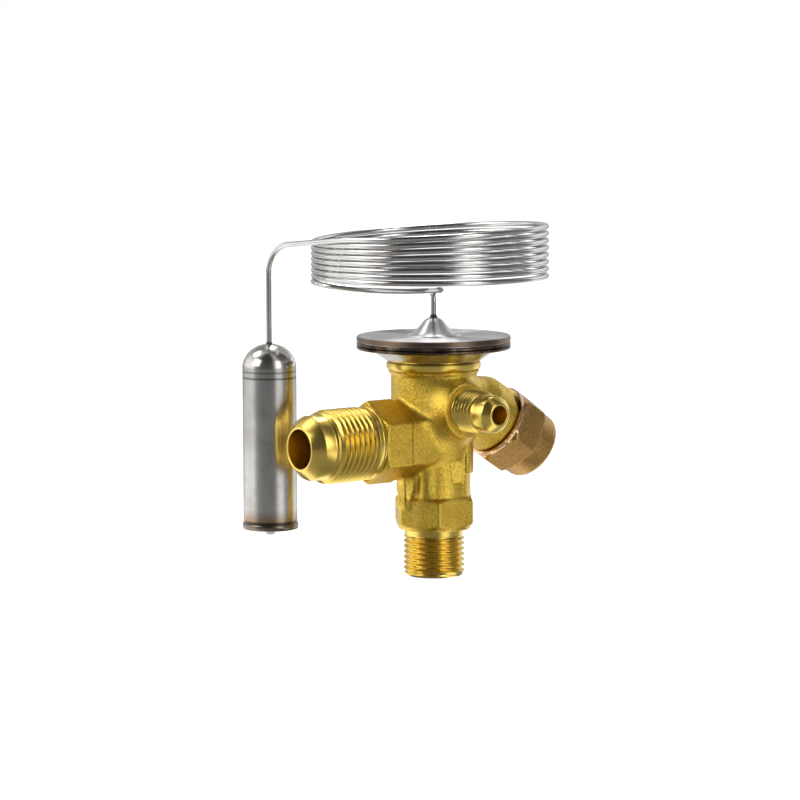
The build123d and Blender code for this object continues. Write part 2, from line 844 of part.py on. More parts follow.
with BuildPart() as seal_cap:
    extrude(
        hexagon(cap_af, spindle_cross.offset(cap_start), cap_corner_r, rotation=cap_turned + 30),
        amount=cap_hex_len,
    )
    # Mouth ring turned round, its corners falling away to the hexagon
    revolve(
        outline(
            (cap_af / 2 - cap_mouth_lip, cap_start),
            (cap_hex_r + cap_mouth_chamfer, cap_start),
            (cap_hex_r + cap_mouth_chamfer, cap_start + cap_mouth_chamfer * 2),
            (cap_af / 2, cap_start + cap_mouth_lip),
            plane=spindle_section,
        ),
        axis=spindle_axis,
        mode=Mode.SUBTRACT,
    )
    # Round closed end
    with BuildSketch(spindle_cross.offset(cap_hex_end)):
        Circle(cap_end_d / 2)
    extrude(amount=cap_end_len)
    fillet(seal_cap.faces().sort_by(spindle_axis)[-1].edges(), cap_end_r)
    # Thread bore, gasket shoulder and the hollow that clears the spindle
    revolve(
        outline(
            (0, cap_start - 1),
            (cap_thread_d / 2 + thread_gap, cap_start - 1),
            (cap_thread_d / 2 + thread_gap, cap_shoulder_u),
            (cap_hollow_d / 2, cap_shoulder_u),
            (cap_hollow_d / 2, cap_hollow_end),
            (0, cap_hollow_end),
            plane=spindle_section,
        ),
        axis=spindle_axis,
        mode=Mode.SUBTRACT,
    )
seal_cap.part.label = "seal_cap"
export_step(seal_cap.part, "parts/seal_cap.step")

# ------------------------------------------------------------------ superheat spring and its seats
seat_z = ball_z + ball_r + seat_gap
cup_z = chamber_floor_z + guide_flange_h + cup_clearance
cup_r = seat_cup_d / 2
spring_foot_z = cup_z + seat_cup_wall
pad_top_z = diaphragm_z - seat_gap
pin_hole_r = push_pin_d / 2 + pin_clearance

with BuildPart() as spring_seat:
    revolve(
        outline(
            (pin_hole_r, cup_z),
            (cup_r, cup_z),
            (cup_r, seat_z),
            (chamber_d / 2 - running_gap, seat_z),
            (chamber_d / 2 - running_gap, seat_z + seat_flange_h),
            (cup_r - seat_cup_wall, seat_z + seat_flange_h),
            (cup_r - seat_cup_wall, spring_foot_z),
            (pin_hole_r, spring_foot_z),
        ),
        axis=Axis.Z,
    )
spring_seat.part.label = "spring_seat"
export_step(spring_seat.part, "parts/spring_seat.step")

with BuildPart() as diaphragm_pad:
    revolve(
        outline(
            (0, pad_hub_z),
            (pad_hub_d / 2, pad_hub_z),
            (pad_hub_d / 2, pad_top_z - pad_h),
            (pad_d / 2, pad_top_z - pad_h),
            (pad_d / 2, pad_top_z),
            (0, pad_top_z),
        ),
        axis=Axis.Z,
    )
diaphragm_pad.part.label = "diaphragm_pad"
export_step(diaphragm_pad.part, "parts/diaphragm_pad.step")


def spring_route(mean_r, wire_d, low_z, high_z, turns):
    """Points of a compression spring standing between two seats."""
    steps = round(turns * spring_runs_per_turn)
    start_z = low_z + wire_d / 2 + seat_gap
    rise = high_z - low_z - wire_d - 2 * seat_gap
    points = []
    for step in range(steps + 1):
        angle = 2 * math.pi * turns * step / steps
        points.append((mean_r * math.cos(angle), mean_r * math.sin(angle), start_z + rise * step / steps))
    return points


with BuildPart() as superheat_spring:
    with BuildLine() as superheat_route:
        Polyline(
            *spring_route(
                (spring_d - spring_wire_d) / 2,
                spring_wire_d,
                spring_foot_z,
                pad_hub_z,
                spring_turns,
            )
        )
    with BuildSketch(Plane(origin=superheat_route.line @ 0, z_dir=superheat_route.line % 0)):
        RegularPolygon(spring_wire_d / 2, wire_sides)
    sweep(transition=Transition.RIGHT)
superheat_spring.part.label = "superheat_spring"
export_step(superheat_spring.part, "parts/superheat_spring.step")

# ------------------------------------------------------------------ push pin and its guide
cone_slope = (cone_base_d - cone_top_d) / 2 / cone_h
cone_top_z = orifice_plate_z + (orifice_hole_d / 2 - seat_gap - cone_top_d / 2) / cone_slope
cone_z = cone_top_z - cone_h

with BuildPart() as push_pin:
    revolve(
        outline(
            (0, cone_top_z),
            (push_pin_tip_d / 2, cone_top_z),
            (push_pin_tip_d / 2, cone_top_z + push_pin_tip_len),
            (push_pin_d / 2, cone_top_z + push_pin_tip_len + (push_pin_d - push_pin_tip_d) / 2),
            (push_pin_d / 2, pad_hub_z),
            (0, pad_hub_z),
        ),
        axis=Axis.Z,
    )
push_pin.part.label = "push_pin"
export_step(push_pin.part, "parts/push_pin.step")

guide_bore_r = push_pin_d / 2 + running_gap
groove_z = (guide_bottom_z + chamber_floor_z) / 2
groove_h = guide_seal_wire_d + 2 * bore_gap
guide_top_z = chamber_floor_z + seat_gap + guide_flange_h

with BuildPart() as pin_guide:
    revolve(
        outline(
            (guide_bore_r, guide_bottom_z),
            (guide_d / 2, guide_bottom_z),
            (guide_d / 2, chamber_floor_z + seat_gap),
            (guide_flange_d / 2, chamber_floor_z + seat_gap),
            (guide_flange_d / 2, guide_top_z),
            (guide_bore_r, guide_top_z),
            (guide_bore_r, groove_z + groove_h / 2),
            (guide_bore_r + guide_seal_wire_d, groove_z + groove_h / 2),
            (guide_bore_r + guide_seal_wire_d, groove_z - groove_h / 2),
            (guide_bore_r, groove_z - groove_h / 2),
        ),
        axis=Axis.Z,
    )
pin_guide.part.label = "pin_guide"
export_step(pin_guide.part, "parts/pin_guide.step")

with BuildPart() as pin_guide_seal:
    with BuildSketch(Plane.XZ):
        with Locations((guide_bore_r + guide_seal_wire_d / 2 - bore_gap / 2, groove_z)):
            RegularPolygon(guide_seal_wire_d / 2, seal_sides)
    revolve(axis=Axis.Z)
pin_guide_seal.part.label = "pin_guide_seal"
export_step(pin_guide_seal.part, "parts/pin_guide_seal.step")

# ------------------------------------------------------------------ orifice assembly
housing_r = inlet_bore_d / 2 - bore_gap
seal_groove_h = orifice_seal_wire_d + 4 * bore_gap
seal_groove_r = housing_r - orifice_seal_wire_d - bore_gap
housing_bore_r = orifice_bore_d / 2

with BuildPart() as orifice_housing:
    revolve(
        outline(
            (housing_bore_r, orifice_start),
            (housing_r, orifice_start),
            (housing_r, orifice_seal_z - seal_groove_h / 2),
            (seal_groove_r, orifice_seal_z - seal_groove_h / 2),
            (seal_groove_r, orifice_seal_z + seal_groove_h / 2),
            (housing_r, orifice_seal_z + seal_groove_h / 2),
            (housing_r, orifice_seat_z - seat_gap),
            (orifice_nose_d / 2, orifice_seat_z - seat_gap),
            (orifice_nose_d / 2, orifice_nose_end),
            (orifice_cup_d / 2, orifice_nose_end),
            (orifice_cup_d / 2, orifice_plate_z + orifice_plate_h),
            (orifice_hole_d / 2, orifice_plate_z + orifice_plate_h),
            (orifice_hole_d / 2, orifice_plate_z),
            (housing_bore_r, orifice_plate_z),
        ),
        axis=Axis.Z,
    )
orifice_housing.part.label = "orifice_housing"
export_step(orifice_housing.part, "parts/orifice_housing.step")

with BuildPart() as orifice_seal:
    with BuildSketch(Plane.XZ):
        with Locations((housing_r - orifice_seal_wire_d / 2, orifice_seal_z)):
            RegularPolygon(orifice_seal_wire_d / 2, seal_sides)
    revolve(axis=Axis.Z)
orifice_seal.part.label = "orifice_seal"
export_step(orifice_seal.part, "parts/orifice_seal.step")

with BuildPart() as valve_cone:
    revolve(
        outline(
            (0, cone_z - cone_shoulder_h - cone_stem_len),
            (cone_stem_d / 2, cone_z - cone_shoulder_h - cone_stem_len),
            (cone_stem_d / 2, cone_z - cone_shoulder_h),
            (cone_spring_d / 2, cone_z - cone_shoulder_h),
            (cone_spring_d / 2, cone_z),
            (cone_base_d / 2, cone_z),
            (cone_top_d / 2, cone_top_z),
            (0, cone_top_z),
        ),
        axis=Axis.Z,
    )
valve_cone.part.label = "valve_cone"
export_step(valve_cone.part, "parts/valve_cone.step")

retainer_top_z = retainer_z + retainer_h

with BuildPart() as spring_retainer:
    revolve(
        outline(
            (retainer_hole_d / 2, retainer_z),
            (housing_bore_r - thread_gap, retainer_z),
            (housing_bore_r - thread_gap, retainer_top_z),
            (retainer_hole_d / 2, retainer_top_z),
        ),
        axis=Axis.Z,
    )
    # Screwdriver slot
    with BuildSketch(Plane.XY.offset(retainer_z)):
        Rectangle(orifice_bore_d, gland_slot_w)
    extrude(amount=retainer_h / 3, mode=Mode.SUBTRACT)
spring_retainer.part.label = "spring_retainer"
export_step(spring_retainer.part, "parts/spring_retainer.step")

with BuildPart() as cone_spring:
    with BuildLine() as cone_route:
        Polyline(
            *spring_route(
                (cone_spring_d - cone_spring_wire_d) / 2,
                cone_spring_wire_d,
                retainer_top_z,
                cone_z - cone_shoulder_h,
                cone_spring_turns,
            )
        )
    with BuildSketch(Plane(origin=cone_route.line @ 0, z_dir=cone_route.line % 0)):
        RegularPolygon(cone_spring_wire_d / 2, wire_sides)
    sweep(transition=Transition.RIGHT)
cone_spring.part.label = "cone_spring"
export_step(cone_spring.part, "parts/cone_spring.step")

strainer_r = strainer_d / 2
strainer_top_z = orifice_start - seat_gap

with BuildPart() as inlet_strainer:
    revolve(
        outline(
            (0, strainer_z),
            (strainer_r - strainer_round, strainer_z),
            (strainer_r, strainer_z + strainer_round),
            (strainer_r, strainer_top_z),
            (strainer_r - strainer_wall, strainer_top_z),
            (strainer_r - strainer_wall, strainer_z + strainer_round),
            (strainer_r - strainer_round, strainer_z + strainer_wall),
            (0, strainer_z + strainer_wall),
        ),
        axis=Axis.Z,
    )
inlet_strainer.part.label = "inlet_strainer"
export_step(inlet_strainer.part, "parts/inlet_strainer.step")

with BuildPart() as strainer_ring:
    revolve(
        outline(
            (strainer_r + bore_gap, strainer_top_z - strainer_ring_h),
            (housing_r, strainer_top_z - strainer_ring_h),
            (housing_r, strainer_top_z),
            (strainer_r + bore_gap, strainer_top_z),
        ),
        axis=Axis.Z,
    )
strainer_ring.part.label = "strainer_ring"
export_step(strainer_ring.part, "parts/strainer_ring.step")
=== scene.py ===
"""Looks for the expansion valve: forged body, cut threads, head, coil, bulb, light and camera."""

import json
import math

import bpy
import numpy as np
from mathutils import Matrix, Vector


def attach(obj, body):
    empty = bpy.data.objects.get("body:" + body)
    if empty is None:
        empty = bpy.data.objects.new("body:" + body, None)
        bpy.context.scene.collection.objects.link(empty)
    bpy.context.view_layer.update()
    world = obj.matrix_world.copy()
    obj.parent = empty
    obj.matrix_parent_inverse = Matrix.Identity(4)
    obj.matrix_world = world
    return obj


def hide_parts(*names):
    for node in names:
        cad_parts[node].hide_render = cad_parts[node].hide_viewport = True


MM = 0.001
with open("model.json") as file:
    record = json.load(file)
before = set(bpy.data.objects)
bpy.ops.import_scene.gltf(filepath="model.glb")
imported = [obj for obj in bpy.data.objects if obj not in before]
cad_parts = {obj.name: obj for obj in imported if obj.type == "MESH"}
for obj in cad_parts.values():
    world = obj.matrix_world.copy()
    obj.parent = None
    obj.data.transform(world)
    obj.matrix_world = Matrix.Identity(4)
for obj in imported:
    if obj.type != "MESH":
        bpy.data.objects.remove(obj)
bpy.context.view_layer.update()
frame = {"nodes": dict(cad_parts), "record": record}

# ------------------------------------------------------------------ sizes shared with the CAD
# Millimetres and degrees: Z is the valve's axis, and z = 0 is the inlet's end face
OUTLET_Z = 36.2  # height of the outlet arm's axis, which runs along -X
EQUALIZER_Z = 44.3  # height of the equalizer port's axis, which runs along -Y
SPINDLE_Z = 51.5  # height at which the spindle's axis crosses the valve's
TILT = math.radians(32.0)
SPINDLE_DIR = np.array([math.cos(TILT), 0.0, -math.sin(TILT)])
HALF_FLATS = 9.5  # half the width across the flats of the arm and of the cap
CREASE = 42  # degrees between faces past which a forged edge is shown sharp
THREAD_ROWS = 16  # rows of points to each turn of a thread
CREST, FLANKS = 0.10, 0.80  # shares of half a pitch that a thread's flat crest and flank take


# ------------------------------------------------------------------ mesh helpers
def new_object(name, points, faces, sharp=None):
    """Makes a smooth mesh object from points in millimetres, creased past a sharp angle."""
    mesh = bpy.data.meshes.new(name)
    mesh.from_pydata([tuple(p) for p in np.asarray(points) * MM], [], faces)
    mesh.update()
    mesh.shade_smooth()
    if sharp is not None:
        mesh.set_sharp_from_angle(angle=math.radians(sharp))
    obj = bpy.data.objects.new(name, mesh)
    bpy.context.scene.collection.objects.link(obj)
    return obj


def grid_faces(rows, columns):
    """Quads of a grid of rows that closes round its columns."""
    faces = []
    for i in range(rows - 1):
        this, above = i * columns, (i + 1) * columns
        for j in range(columns):
            k = (j + 1) % columns
            faces.append((this + j, this + k, above + k, above + j))
    return faces


def axes_along(direction):
    """Two unit vectors square to a direction, and the direction, right-handed."""
    d = np.array(direction, float)
    d /= np.linalg.norm(d)
    guess = np.array([0.0, 0.0, 1.0]) if abs(d[2]) < 0.9 else np.array([1.0, 0.0, 0.0])
    u = np.cross(guess, d)
    u /= np.linalg.norm(u)
    return u, np.cross(d, u), d


def turned(name, profile, origin, direction, columns=96, pitch=None, depth=0.0, sharp=40):
    """A turned piece. profile lists (distance, radius) or (distance, radius, thread share)."""
    stops = [(*stop, 0.0)[:3] for stop in profile]
    rows = []
    for a, b in zip(stops[:-1], stops[1:]):
        steps = 1
        if pitch and max(a[2], b[2]) > 0:
            steps = max(1, int(abs(b[0] - a[0]) / pitch * THREAD_ROWS))
        for n in range(steps):
            t = n / steps
            rows.append(tuple(p + (q - p) * t for p, q in zip(a, b)))
    rows.append(stops[-1])
    u, v, d = axes_along(direction)
    angle = np.linspace(0, 2 * math.pi, columns, endpoint=False)
    points = []
    for s, r, share in rows:
        radius = np.full(columns, r, float)
        if pitch and share > 0:
            phase = np.mod(s / pitch + angle / (2 * math.pi), 1.0)
            groove = 1.0 - np.abs(2 * phase - 1.0)
            groove = np.clip((groove - CREST) / FLANKS, 0.0, 1.0)
            radius = r - share * depth * groove
        ring = np.outer(np.cos(angle) * radius, u) + np.outer(np.sin(angle) * radius, v)
        points.append(ring + np.array(origin, float) + d * s)
    return new_object(name, np.vstack(points), grid_faces(len(rows), columns), sharp=sharp)


def tube(name, path, radius, sides):
    """A round tube with closed ends along a path of points, with rings that don't twist."""
    path = np.asarray(path, float)
    heading = np.gradient(path, axis=0)
    heading /= np.linalg.norm(heading, axis=1)[:, None]
    normal = np.cross(heading[0], [0.3, 0.9, 0.1])
    normal /= np.linalg.norm(normal)
    angle = np.linspace(0, 2 * math.pi, sides, endpoint=False)
    points = []
    for p, h in zip(path, heading):
        normal = normal - h * (normal @ h)
        normal /= np.linalg.norm(normal)
        side = np.cross(h, normal)
        ring = np.outer(np.cos(angle), normal) + np.outer(np.sin(angle), side)
        points.append(p + radius * ring)
    faces = grid_faces(len(path), sides)
    faces.append(tuple(range(sides - 1, -1, -1)))
    faces.append(tuple(range((len(path) - 1) * sides, len(path) * sides)))
    return new_object(name, np.vstack(points), faces)


# ------------------------------------------------------------------ forged body as a field
# Fields give the signed distance to a surface, below zero inside it. The last value of each
# soft_min and soft_max is the width over which two fields blend: a fillet's or an edge's.
def soft_min(a, b, k):
    """Joins two fields with a fillet."""
    h = np.clip(0.5 + 0.5 * (b - a) / k, 0.0, 1.0)
    return b + (a - b) * h - k * h * (1.0 - h)


def soft_max(a, b, k):
    """Keeps what two fields share, with its edge rounded."""
    return -soft_min(-a, -b, k)


def hexagon(a, b, k):
    """Distance to a hexagonal bar whose corners lie along b."""
    cos60, sin60 = 0.5, 0.8660254
    first = soft_max(np.abs(a), np.abs(cos60 * a + sin60 * b), k)
    return soft_max(first, np.abs(cos60 * a - sin60 * b), k)


def slab(x, centre, half):
    """Distance to the layer within half of a centre."""
    return np.abs(x - centre) - half


def box(x, y, z, centre, half, k):
    """Distance to a block with rounded edges."""
    first = soft_max(slab(x, centre[0], half[0]), slab(y, centre[1], half[1]), k)
    return soft_max(first, slab(z, centre[2], half[2]), k)


def radial(a, b):
    """Distance from an axis."""
    return np.sqrt(a * a + b * b)


def ramp(x, a, b):
    """Goes smoothly from 0 at a to 1 at b."""
    t = np.clip((x - a) / (b - a), 0.0, 1.0)
    return t * t * (3 - 2 * t)


def neck_and_barrel(x, z, r):
    """The round column, its proud half on the spindle's side and that half's raised band."""
    neck_r, barrel_step, top_flare = 9.15, 1.95, 0.7
    proud_r, band_r, under_flange = 9.5, 10.3, 53.75
    wide = neck_r + barrel_step * ramp(z, 31.0, 38.5) + top_flare * ramp(z, 52.4, 53.7)
    barrel = soft_max(r - wide, z - under_flange, 0.1)
    proud = soft_max(r - proud_r, 2.9 - x, 0.9)
    proud = soft_max(proud, z - 36.0, 1.0)
    band = soft_max(soft_max(r - band_r, 3.4 - x, 1.0), slab(z, 31.0, 4.1), 0.5)
    return soft_min(soft_min(barrel, proud, 0.6), band, 0.3)


def inlet_hexagon(x, y, z, r):
    """The hexagon above the inlet's thread, chamfered at both ends."""
    half_flats, low, high, shoulder = 9.55, 13.0, 21.0, 20.6
    nut = hexagon(y, x, 0.25) - half_flats
    nut = soft_max(nut, z - high, 0.5)
    nut = soft_max(nut, low - z, 0.2)
    nut = soft_max(nut, 0.50 * (r - 9.35) - 0.866 * (z - low), 0.35)
    return soft_max(nut, 0.50 * (r - 9.95) + 0.866 * (z - shoulder), 0.6)


def hollowed(body, x, y, z):
    """A hollow on each side below the arm, with a rib beside it."""
    middle = 25.4
    for side in (-1, 1):
        hollow = (x + 10.7) ** 2 + (side * y - 4.6) ** 2 + (0.80 * (z - middle)) ** 2
        hollow = np.sqrt(hollow) - 3.6
        body = soft_max(body, -hollow, 1.4)
        rib = radial(x + 5.9, side * y - 4.75) - 2.1
        rib = soft_max(rib, slab(z, middle, 3.9), 1.4)
        body = soft_min(body, rib, 1.2)
    return body


def outlet_arm(body, x, y, z):
    """The arm and the webs: the arm is sharp at its end and softer towards the barrel."""
    up = z - OUTLET_Z
    arm = hexagon(y, up, 0.35) - HALF_FLATS
    arm = soft_max(arm, slab(x, -17.8, 4.0), 0.25)
    arm = soft_max(arm, 0.45 * (radial(y, up) - 10.1) - 0.893 * (x + 21.8), 0.25)
    root = hexagon(y, up, 0.9 + 1.6 * ramp(x, -11.0, -2.0)) - 9.25
    root = soft_max(root, slab(x, -7.2, 7.2), 0.4)
    web = box(x, y, z, (-5.4, 0, 27.5), (5.4, 1.9, 9.0), 0.9)  # under the arm
    foot = box(x, y, z, (4.4, 0, 30.0), (5.0, 2.2, 9.5), 0.9)  # under the spindle boss
    body = soft_min(body, soft_min(root, web, 1.8), 1.3)
    body = soft_min(body, arm, 0.3)
    return soft_min(body, foot, 1.2)


def forging(x, y, z):
    """Signed distance to the forged part of the body, its turned ends left off."""
    r = radial(x, y)
    body = soft_min(neck_and_barrel(x, z, r), inlet_hexagon(x, y, z, r), 0.7)
    body = hollowed(body, x, y, z)
    body = outlet_arm(body, x, y, z)
    # equalizer boss
    port_r = radial(x, z - EQUALIZER_Z)
    port = soft_max(port_r - 6.95, slab(y, -7.05, 7.05), 0.35)
    body = soft_min(body, port, 5.0)
    # spindle boss, cut level at its top
    sz = z - SPINDLE_Z
    along = x * SPINDLE_DIR[0] + sz * SPINDLE_DIR[2]
    spindle_r = radial(y, x * math.sin(TILT) + sz * math.cos(TILT))
    boss = spindle_r - 7.6 - 1.5 * ramp(along, 12.0, 16.5)
    boss = soft_max(boss, slab(along, 11.65, 11.65), 0.4)
    boss = soft_max(boss, z - 51.3, 0.8)
    body = soft_min(body, boss, 2.0)
    # stamped pocket in the front of the neck: its left side leans and its floor slopes
    leaned = x + 0.16 * (z - 27.0)
    pocket = soft_max(slab(leaned, 0.85, 1.8), slab(z, 27.6, 2.9), 0.5)
    pocket = np.maximum(pocket, y + 7.8 + 0.32 * np.maximum(x + 0.6, 0.0))
    body = soft_max(body, -pocket, 0.25)
    # a very slight swelling where the arm meets the barrel
    spot = np.sqrt((x + 8.6) ** 2 + (y + 8.8) ** 2 + (z - 46.0) ** 2)
    body = soft_min(body, spot + 0.8, 1.2)
    # each bore is what a radius and an end share
    arm_r = radial(y, z - OUTLET_Z)
    bores = (
        (r - 6.0, z - 27.0),  # inlet
        (r - 3.93, z - 31.6),  # orifice housing
        (r - 6.2, slab(z, 35.4, 4.0)),  # space above the orifice
        (r - 3.03, z - 42.5),  # pin guide
        (r - 9.2, 41.9 - z),  # spring chamber
        (arm_r - 5.05, x + 17.8),  # outlet
        (arm_r - 3.8, x),  # passage to the outlet
        (port_r - 2.35, y + 7.0),  # equalizer
        (spindle_r - 3.08, 6.0 - along),  # spindle and ball
        (spindle_r - 4.65, 15.0 - along),  # gland
    )
    for round_wall, end in bores:
        body = np.maximum(body, -np.maximum(round_wall, end))
    return body


def surface_net(field, low, high, cell):
    """Quad mesh of a field's zero surface: one vertex in each crossed cell, drawn onto it."""
    axes = [np.arange(a, b + cell, cell) for a, b in zip(low, high)]
    inside = field(*np.meshgrid(*axes, indexing="ij")) < 0
    shape = np.array(inside.shape) - 1
    total = np.zeros(shape)
    for dx in (0, 1):
        for dy in (0, 1):
            for dz in (0, 1):
                total += inside[dx : dx + shape[0], dy : dy + shape[1], dz : dz + shape[2]]
    crossed = (total > 0) & (total < 8)
    index = -np.ones(shape, int)
    index[crossed] = np.arange(crossed.sum())
    points = np.array(low) + (np.argwhere(crossed) + 0.5) * cell
    # a quad round each grid edge whose ends lie on different sides
    faces = []
    for axis, one, two in ((0, 1, 2), (1, 2, 0), (2, 0, 1)):
        near = [slice(None)] * 3
        far = [slice(None)] * 3
        near[axis] = slice(0, -1)
        far[axis] = slice(1, None)
        where = np.argwhere(inside[tuple(near)] != inside[tuple(far)])
        keep = (where[:, one] > 0) & (where[:, two] > 0)
        for way in range(3):
            keep &= where[:, way] < shape[way]
        where = where[keep]
        step_one = np.zeros(3, int)
        step_two = np.zeros(3, int)
        step_one[one] = 1
        step_two[two] = 1
        corner = [where - step_one - step_two, where - step_two, where, where - step_one]
        quad = np.stack([index[tuple(c.T)] for c in corner], 1)
        flip = ~inside[tuple(where.T)]
        quad[flip] = quad[flip][:, ::-1]
        faces.append(quad[(quad >= 0).all(1)])
    # draw the vertices onto the surface, half a cell at most in each pass
    passes, e = 6, cell * 0.05
    for _ in range(passes):
        px, py, pz = points.T
        d = field(px, py, pz)
        gradient = np.stack(
            [
                field(px + e, py, pz) - field(px - e, py, pz),
                field(px, py + e, pz) - field(px, py - e, pz),
                field(px, py, pz + e) - field(px, py, pz - e),
            ],
            1,
        ) / (2 * e)
        length = np.maximum((gradient**2).sum(1), 0.25)
        move = -(d / length)[:, None] * gradient
        size = np.linalg.norm(move, axis=1, keepdims=True)
        points = points + move * np.minimum(1.0, 0.5 * cell / np.maximum(size, 1e-9))
    return points, np.vstack(faces)


# step of the grid that the fields are meshed on
CELL = 0.33
points, faces = surface_net(forging, (-22.6, -15.2, 12.2), (21.4, 11.8, 54.6), CELL)
body = new_object("forged_body", points, faces.tolist(), sharp=CREASE)

# The cap's sizes along u, the distance from the valve's axis along the spindle's
CAP_TURN = math.radians(-20.0)  # angle of the cap's upper flat
COLLAR_R, HEX_START, HEX_END = 9.85, 24.3, 32.5
POLISHED_TO = 24.9  # the collar is polished up to here


def cap_form(p, q, u):
    """Signed distance to the seal cap: p along Y, q up and square to its axis, u along it."""
    flat = p * math.sin(CAP_TURN) + q * math.cos(CAP_TURN)
    corner = p * math.cos(CAP_TURN) - q * math.sin(CAP_TURN)
    r = radial(p, q)
    nut = hexagon(flat, corner, 0.15) - HALF_FLATS
    nut = soft_max(nut, slab(u, 28.4, 4.1), 0.2)
    nut = soft_max(nut, 0.75 * (r - 9.75) - 0.66 * (u - HEX_START), 0.2)
    nut = soft_max(nut, 0.75 * (r - 10.1) + 0.66 * (u - HEX_END), 0.15)
    collar = soft_max(r - COLLAR_R, slab(u, 24.05, 0.55), 0.25)
    end = soft_max(r - 9.0, slab(u, 35.4, 3.5), 1.5)
    cap = soft_min(soft_min(nut, collar, 0.2), end, 0.5)
    cap = np.maximum(cap, -np.maximum(r - 7.08, u - 33.9))  # bore for the thread
    return np.maximum(cap, -np.maximum(r - 5.3, u - 36.9))  # bore for the spindle


points, faces = surface_net(cap_form, (-11.6, -11.6, 22.8), (11.6, 11.6, 39.6), CELL)
out = np.array([math.sin(TILT), 0.0, math.cos(TILT)])
points = points @ np.array([[0.0, 1.0, 0.0], out, SPINDLE_DIR]) + np.array([0, 0, SPINDLE_Z])
cap = new_object("cap_shell", points, faces.tolist(), sharp=CREASE)
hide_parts("seal_cap")
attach(cap, "seal_cap")

# ------------------------------------------------------------------ turned ends
inlet = turned(
    "inlet_end",
    [
        (13.05, 6.0),
        (0.25, 6.0),
        (0.0, 6.25),
        (0.0, 7.1),
        (0.12, 7.3),
        (0.75, 7.9, 0.55),
        (1.5, 7.94, 1.0),
        (10.0, 7.94, 1.0),
        (10.9, 7.6, 0.0),
        (12.6, 7.55),
        (12.9, 7.7),
        (13.05, 8.6),
        (13.1, 9.0),
    ],
    (0, 0, 0),
    (0, 0, 1),
    pitch=1.411,
    depth=0.86,
)
outlet = turned(
    "outlet_end",
    [
        (18.0, 5.05),
        (42.45, 5.05),
        (42.7, 5.12),
        (42.8, 5.3),
        (42.8, 5.5),
        (42.62, 5.75),
        (40.25, 8.1),
        (39.85, 8.3),
        (37.0, 8.3),
        (36.75, 8.35),
        (36.3, 8.7, 0.3),
        (35.6, 9.45, 0.9),
        (35.0, 9.525, 1.0),
        (25.0, 9.525, 1.0),
        (23.9, 9.45, 0.35),
        (23.3, 9.3, 0.0),
        (22.6, 9.2),
        (22.4, 9.3),
        (22.3, 9.45),
        (21.75, 9.45),
        (21.7, 8.4),
    ],
    (0, 0, OUTLET_Z),
    (-1, 0, 0),
    columns=128,
    pitch=1.5875,
    depth=0.92,
)
equalizer = turned(
    "equalizer_end",
    [
        (7.2, 2.35),
        (27.45, 2.35),
        (27.65, 2.45),
        (27.7, 2.6),
        (27.7, 2.85),
        (27.55, 3.1),
        (26.2, 4.45),
        (25.8, 4.7),
        (22.3, 4.7),
        (22.1, 4.75),
        (21.7, 5.0, 0.3),
        (21.1, 5.5, 0.9),
        (20.6, 5.555, 1.0),
        (15.6, 5.555, 1.0),
        (15.0, 5.5, 0.4),
        (14.6, 5.5, 0.0),
        (14.2, 5.5),
        (14.0, 5.65),
        (13.8, 5.65),
    ],
    (0, 0, EQUALIZER_Z),
    (0, -1, 0),
    pitch=1.27,
    depth=0.74,
)
stub = turned(
    "spindle_stub",
    [
        (23.2, 4.6),
        (33.2, 4.6),
        (33.4, 4.8),
        (33.4, 6.1),
        (32.6, 6.95, 0.8),
        (32.0, 7.0, 1.0),
        (25.4, 7.0, 1.0),
        (24.6, 6.7, 0.0),
        (23.4, 6.7),
        (23.3, 7.2),
        (23.28, 9.1),
    ],
    (0, 0, SPINDLE_Z),
    SPINDLE_DIR,
    pitch=1.0,
    depth=0.55,
)
flange = turned(
    "body_flange",
    [
        (51.6, 9.2),
        (54.4, 9.2),
        (54.4, 10.4),
        (55.75, 10.4),
        (55.9, 10.55),
        (55.9, 12.05),
        (55.7, 12.25),
        (54.45, 12.25),
        (54.25, 12.1),
        (53.75, 11.6),
        (53.5, 11.3),
        (53.2, 10.9),
    ],
    (0, 0, 0),
    (0, 0, 1),
    columns=128,
)
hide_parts("valve_body")
for obj in (body, inlet, outlet, equalizer, stub, flange):
    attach(obj, "housing")

# ------------------------------------------------------------------ capillary tube
HIGH_SIDE = math.radians(-37.3)  # the coil's high side, which is also the photograph's right
ACROSS = np.array([math.cos(HIGH_SIDE), math.sin(HIGH_SIDE), 0.0])
AWAY = np.array([-math.sin(HIGH_SIDE), math.cos(HIGH_SIDE), 0.0])
UP = np.array([0.0, 0.0, 1.0])
COIL_R = 30.1
COIL_SHIFT = -0.9
COIL_Z = 77.15
COIL_PITCH = 1.63
COIL_LEAN, LEAN_GAIN = 0.13, 0.20  # rise of the high side at the first turn, and more each turn
TURNS = 7.86
STEPS_PER_TURN = 60
TUBE_R = 0.70
TUBE_SIDES = 16
BULB = np.array([-36.1, 22.7, 0.0])
FERRULE_TOP_Z = 65.8
STUB_Z, LOOP_Z, LOOP_R = 72.4, 74.5, 2.0
DROP_TOP_Z, DROP_BEND_R = 86.3, 7.0
BULB_TOP_Z = 59.2  # where the tube ends inside the bulb


def plan(across, away, height):
    """A position from distances along the coil's high side, square to it and upwards."""
    return across * ACROSS + away * AWAY + height * UP


def coil_point(turn):
    """A point of the coil, which winds clockwise and upwards and leans more with each turn."""
    angle = math.pi - 2 * math.pi * turn
    lean = (COIL_LEAN + LEAN_GAIN * turn) * math.cos(angle)
    height = COIL_Z + COIL_PITCH * turn + lean
    return plan(COIL_SHIFT + COIL_R * math.cos(angle), COIL_R * math.sin(angle), height)


